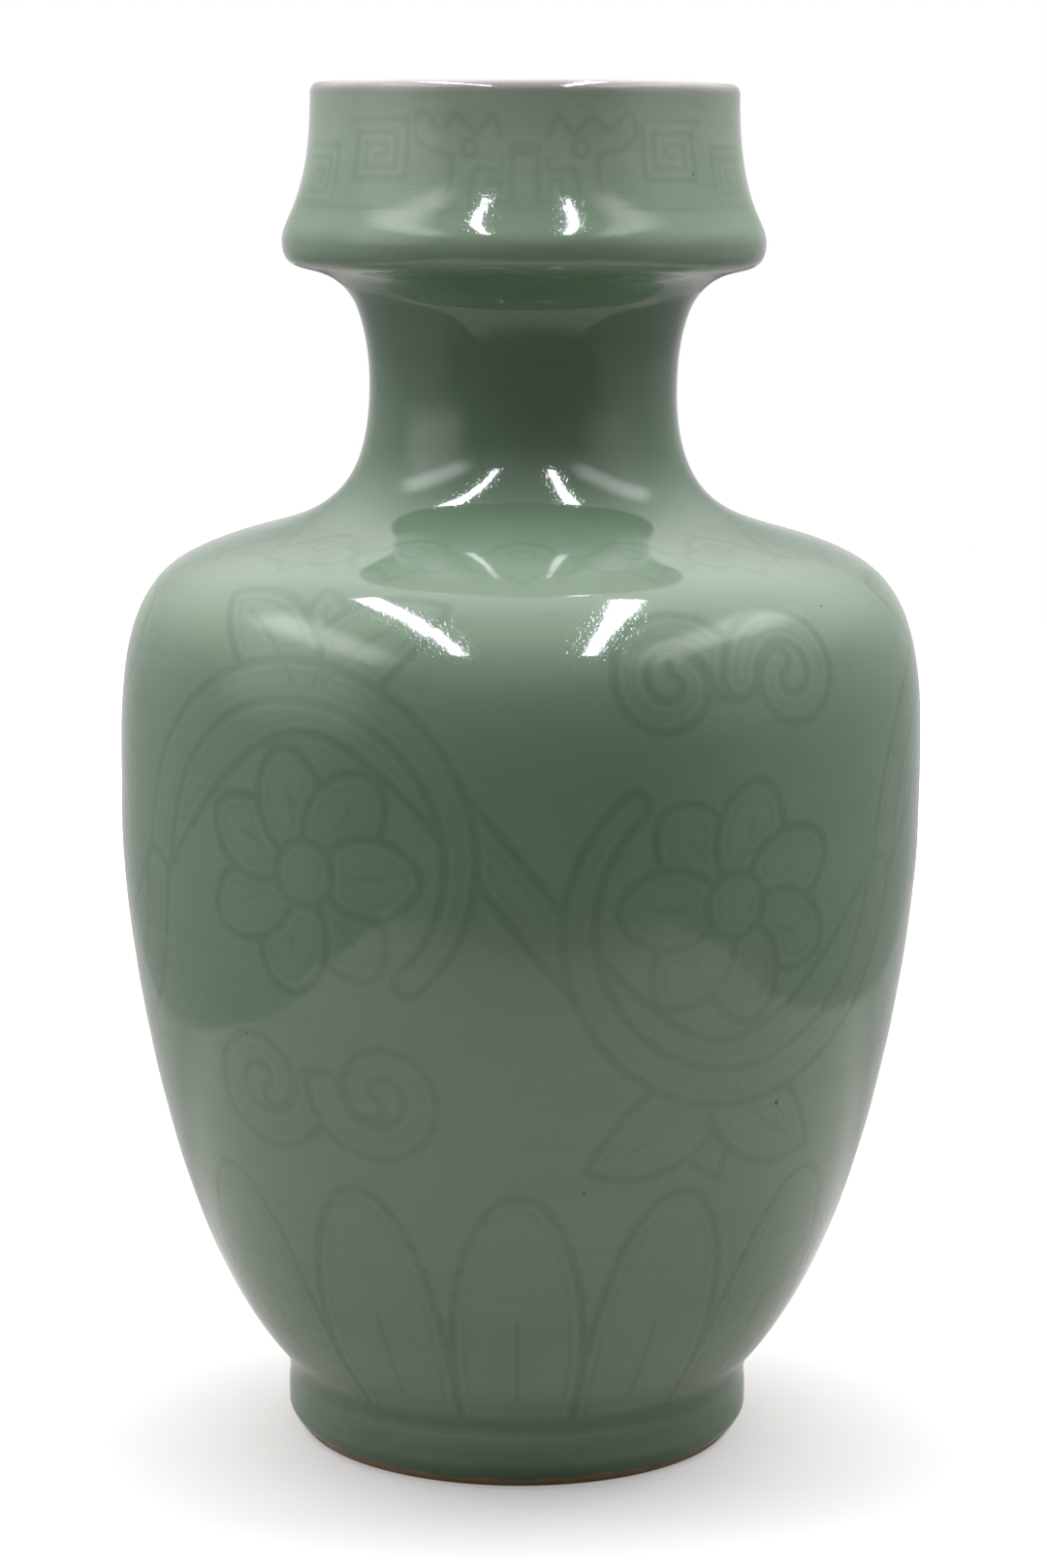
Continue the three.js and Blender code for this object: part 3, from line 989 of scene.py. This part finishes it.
def make_base_disc():
    """The saucer-shaped disc, with throwing ridges on both faces."""
    sagged_top, sagged_under = BASE_TOP - BASE_SAG, BASE_UNDER - BASE_SAG
    top = np.array([(0, sagged_top), (FLOOR_RADIUS / 2, sagged_top), (FLOOR_RADIUS, BASE_TOP)])
    under = np.array([(LEDGE_RADIUS, BASE_UNDER), (LEDGE_RADIUS / 2, sagged_under), (0, sagged_under)])
    strips = [plain_strip(arch(*top, shares(steps=44)), DISC_COLUMNS, DISC_TOP_RIDGES)]
    strips += corner_strips([
        (FLOOR_RADIUS, BASE_TOP),
        (BASE_RADIUS, BASE_TOP),
        (BASE_RADIUS, BASE_UNDER),
        (LEDGE_RADIUS, BASE_UNDER),
    ], DISC_COLUMNS)
    strips.append(plain_strip(arch(*under, shares(steps=30)), DISC_COLUMNS, DISC_UNDER_RIDGES))
    lathe_piece("base_disc_glazed", strips, glaze, ["base_disc"], closed=False)


def bead_points(centre, upward, inward, steps=10):
    """The rounded bead of slip squeezed out on the inside of a joint, from its upper to its lower end."""
    turn = math.pi * shares(steps)
    return centre + upward * SLIP / 2 * np.cos(turn) + inward * BEAD * np.sin(turn)


def make_luting(name, bead, outer_top, outer_bottom):
    """A ring of slip in a joint, under the glaze outside, with a bead inside."""
    strips = corner_strips([bead[0], outer_top, outer_bottom, bead[-1]], LUTING_COLUMNS)
    strips.append(plain_strip(bead[::-1], LUTING_COLUMNS))
    lathe_piece(name + "_bead", strips, glaze, [name])


def make_section_luting(name, joint):
    """The slip between two sections."""
    outside = joint["outside"] - GLAZE_SKIN * joint["outward"]
    half = joint["along"] * SLIP / 2
    bead = bead_points(joint["inside"], -joint["along"], -joint["outward"])
    make_luting(name, bead, outside - half, outside + half)


def make_foot_luting():
    """The flat ring of slip on top of the foot ring and the base disc."""
    bead = bead_points(np.array([FLOOR_RADIUS, CREASE_HEIGHT]), np.array([0, 1]), np.array([-1, 0]))
    make_luting("foot_luting", bead, (SLIP_EDGE, SLIP_TOP), (SLIP_EDGE, SLIP_BOTTOM))


def make_base_luting():
    """The bed of slip under and round the base disc."""
    strips = corner_strips([
        (LEDGE_RADIUS, BASE_UNDER), (BASE_RADIUS, BASE_UNDER), (BASE_RADIUS, BASE_TOP),
        (REBATE_RADIUS, BASE_TOP), (REBATE_RADIUS, LEDGE_HEIGHT), (LEDGE_RADIUS, LEDGE_HEIGHT),
        (LEDGE_RADIUS, BASE_UNDER),
    ], LUTING_COLUMNS)
    lathe_piece("base_luting_bed", strips, foot_glaze, ["base_luting"])


make_mouth_cup()
make_neck()
make_shoulder()
make_lower_body()
make_foot_ring()
make_base_disc()
make_section_luting("mouth_luting", neck_top)
make_section_luting("neck_luting", neck_bottom)
make_section_luting("belly_luting", belly)
make_foot_luting()
make_base_luting()


# Camera

# The photograph's view, fitted to its outline: the lens in pixels of the photograph, angles in degrees
PHOTO_HEIGHT = 1618
FOCAL_LENGTH = 4037
LENS_SHIFT = 2.85
SENSOR = 36.0
CAMERA_PLACE = (0, -1.150, 0.380)
CAMERA_PITCH = 9.11  # below level
CAMERA_ROLL = 0.363
CAMERA_REACH = 50  # nothing farther off is drawn


def place_camera():
    """The photograph's view, looking down a little and rolled a third of a degree."""
    camera = bpy.data.cameras.new("photo_camera")
    camera.sensor_width = SENSOR
    camera.lens = SENSOR * FOCAL_LENGTH / PHOTO_HEIGHT
    camera.shift_x = LENS_SHIFT / PHOTO_HEIGHT
    camera.clip_end = CAMERA_REACH
    holder = add_object("photo_camera", camera)
    pitch = Matrix.Rotation(math.radians(90 - CAMERA_PITCH), 4, "X")
    roll = Matrix.Rotation(math.radians(CAMERA_ROLL), 4, "Z")
    holder.matrix_world = Matrix.Translation(CAMERA_PLACE) @ pitch @ roll
    bpy.context.scene.camera = holder


# Floor

FLOOR_LEFT, FLOOR_RIGHT, FLOOR_FRONT, FLOOR_BACK = -0.39, 0.43, -0.9, 4
PAPER = (0.48, 0.457, 0.42, 1)
# painted shade on the paper in front of and behind the vase, which the glaze reflects
PAPER_FRONT_SHADE = (0.09, 0.086, 0.078, 1)
PAPER_BACK_SHADE = (0.28, 0.27, 0.25, 1)
PAPER_SKEW = (-0.12, 1, 0)  # the direction in which the tone of the paper changes
FRONT_FADE, BACK_FADE = (-0.66, -0.36), (0.10, 0.21)
SHADOW_FADE = (0.10, 0.40, 0.32, 1.0)  # how white the paper looks at a distance from the vase


def make_floor():
    """A plain pale sheet with painted shade in front and behind, which the glaze reflects, and white to the
    camera.
    """
    mesh = bpy.data.meshes.new("floor_sheet")
    mesh.from_pydata([
        (FLOOR_LEFT, FLOOR_FRONT, 0), (FLOOR_RIGHT, FLOOR_FRONT, 0),
        (FLOOR_RIGHT, FLOOR_BACK, 0), (FLOOR_LEFT, FLOOR_BACK, 0),
    ], [], [(0, 1, 2, 3)])
    material, tree = new_material("floor_paper")
    tree.nodes.clear()
    place = add_node(tree, "ShaderNodeTexCoord").outputs["Object"]
    away = vector_maths(tree, "LENGTH", place, output="Value")
    across = vector_maths(tree, "DOT_PRODUCT", place, PAPER_SKEW, "Value")
    # painted shade towards the front and behind the vase
    tone = blend(tree, fade(tree, across, *FRONT_FADE), PAPER_FRONT_SHADE, PAPER)
    tone = blend(tree, fade(tree, across, *BACK_FADE), tone, PAPER_BACK_SHADE)
    paper = add_node(tree, "ShaderNodeBsdfDiffuse", {"Color": tone})
    white = maths(tree, "MULTIPLY", seen(tree), fade(tree, away, *SHADOW_FADE))
    glow = add_node(tree, "ShaderNodeEmission", {"Strength": white})
    both = add_node(tree, "ShaderNodeAddShader", {0: paper.outputs[0], 1: glow.outputs[0]})
    output = add_node(tree, "ShaderNodeOutputMaterial")
    tree.links.new(both.outputs[0], output.inputs["Surface"])
    mesh.materials.append(material)
    sheet = add_object("floor_sheet", mesh)


# Room

# Levels of light that the glaze reflects, as fades over a direction's x, y or z
WALLS = (-0.75, -0.30, 0.05, 0.45)  # over y: dark where the camera stands
BACK_WALL = (0.75, 0.98)  # over y
BACK_WALL_CHANGE = (0.02, 0.32, 0.2, -0.12)  # over z: lighter low down and darker higher up
CEILING_MIX = (0.12, 0.74)  # over z
CEILING = (-0.5, 0.35, 0.6, 1.42)  # over y
WINDOW_DEPTH, WINDOW_HEIGHT = (-0.15, 0.20, 1, 0), (-0.04, 0.10)  # over y and over z
WINDOWS = ((-0.60, -0.82, 0, 1.1), (0.60, 0.82, 0, 0.4))  # over x: left and right
LIGHT_STRIPS = ((140, -0.62, 0.17, 3.7), (44, -0.63, 0.28, 3.4))  # angle above +X, ends in y, level
STRIP_CORE, STRIP_EDGE = 0.03, 0.17  # half widths in radians
STRIP_SOFT = 0.12  # how gently a strip ends
ROOM_LIGHT = 0.13  # the least level, and the one that matt surfaces get


def make_world():
    """White to the camera and, to the glaze, a pale room with two windows and two soft strips of light."""
    world = bpy.data.worlds.new("studio")
    bpy.context.scene.world = world
    world.use_nodes = True
    tree = world.node_tree
    background = tree.nodes["Background"]
    way = add_node(tree, "ShaderNodeTexCoord").outputs["Generated"]
    x, y, z = add_node(tree, "ShaderNodeSeparateXYZ", {0: way}).outputs
    back_wall = maths(tree, "MULTIPLY", fade(tree, y, *BACK_WALL), fade(tree, z, *BACK_WALL_CHANGE))
    walls = maths(tree, "ADD", fade(tree, y, *WALLS), back_wall)
    mixed = {0: fade(tree, z, *CEILING_MIX), 2: walls, 3: fade(tree, y, *CEILING)}
    room = add_node(tree, "ShaderNodeMix", mixed, data_type="FLOAT").outputs[0]
    front_side = maths(tree, "MULTIPLY", fade(tree, y, *WINDOW_DEPTH), fade(tree, z, *WINDOW_HEIGHT))
    for window in WINDOWS:
        room = maths(tree, "ADD", room, maths(tree, "MULTIPLY", fade(tree, x, *window), front_side))
    lean = maths(tree, "ARCTAN2", z, x)
    for angle, front, back, level in LIGHT_STRIPS:
        across = maths(tree, "ABSOLUTE", maths(tree, "SUBTRACT", lean, math.radians(angle)))
        rise = (front - STRIP_SOFT, front + STRIP_SOFT)
        fall = (back - STRIP_SOFT, back + STRIP_SOFT)
        width = fade(tree, across, STRIP_CORE, STRIP_EDGE, level, 0)
        strip = maths(tree, "MULTIPLY", width, band(tree, y, rise, fall, 1))
        room = maths(tree, "ADD", room, strip)
    reflected = add_node(tree, "ShaderNodeLightPath").outputs["Is Glossy Ray"]
    level = maths(tree, "MAXIMUM", maths(tree, "MULTIPLY", reflected, room), seen(tree))
    level = maths(tree, "MAXIMUM", level, ROOM_LIGHT)
    tree.links.new(level, background.inputs["Strength"])
    background.inputs["Color"].default_value = (1, 1, 1, 1)


# Lamps

COOL_WHITE = (0.91, 0.92, 1.0)
LAMP_LEVEL = 1.07  # times the brightness of each lamp
CEILING_HEIGHT, LAMP_HEIGHT = 1.90, 1.50
TUBE_SHINE = 46  # the brightness of the tubes where the glaze reflects them

# Tubes: side, x, y, width, length, turn in degrees, brightness as light
TUBES = (
    ("left", -0.56, -0.66, 0.115, 1.85, 0.0, 2.8),
    ("right", 0.49, -0.67, 0.12, 1.80, 8.6, 1.7),
)

# Panels and soft lamps, which the glaze doesn't reflect: name, place, target, width, length, brightness
CEILING_PANELS = (
    ("ceiling_wide", (0, 0.40, CEILING_HEIGHT), (0, 0.40, 0), 3.6, 1.4, 6.6),
    ("ceiling_broad", (0, 0.32, CEILING_HEIGHT), (0, 0.32, 0), 2.4, 2.4, 2.2),
)
SIDE_LAMPS = (
    ("soft_left", (-1.55, -0.35, LAMP_HEIGHT), (0, 0, 0.2), 0.35, 1.85, 8.5),
    ("soft_right", (1.22, -0.28, LAMP_HEIGHT), (1.22, -0.28, 0), 0.30, 1.95, 6.5),
)


def lamp(name, location, target, width, length, radiance, turn=0.0, diffuse=True, glossy=True):
    """A soft box of a given brightness, facing a target."""
    light = bpy.data.lights.new(name, "AREA")
    light.shape = "RECTANGLE"
    light.size, light.size_y = width, length
    light.color = COOL_WHITE
    light.energy = LAMP_LEVEL * radiance * math.pi * width * length
    holder = add_object(name, light)
    way = Vector(target) - Vector(location)
    facing = way.to_track_quat("-Z", "Y").to_matrix().to_4x4()
    turned_round = Matrix.Rotation(math.radians(turn), 4, "Z")
    holder.matrix_world = Matrix.Translation(location) @ facing @ turned_round
    holder.visible_diffuse = diffuse
    holder.visible_glossy = glossy
    holder.visible_camera = False


def make_lamps():
    """Two ceiling panels, two tubes whose shine and light are set apart, and two soft lamps at the sides."""
    for panel in CEILING_PANELS:
        lamp(*panel, glossy=False)
    for side, x, y, width, length, turn, light in TUBES:
        location, target = (x, y, LAMP_HEIGHT), (x, y, 0)
        lamp("tube_" + side, location, target, width, length, TUBE_SHINE, turn, diffuse=False)
        lamp("tube_light_" + side, location, target, width, length, light, turn, glossy=False)
    for soft_lamp in SIDE_LAMPS:
        lamp(*soft_lamp, glossy=False)


place_camera()
make_floor()
make_world()
make_lamps()

bpy.context.scene.view_settings.view_transform = "Standard"
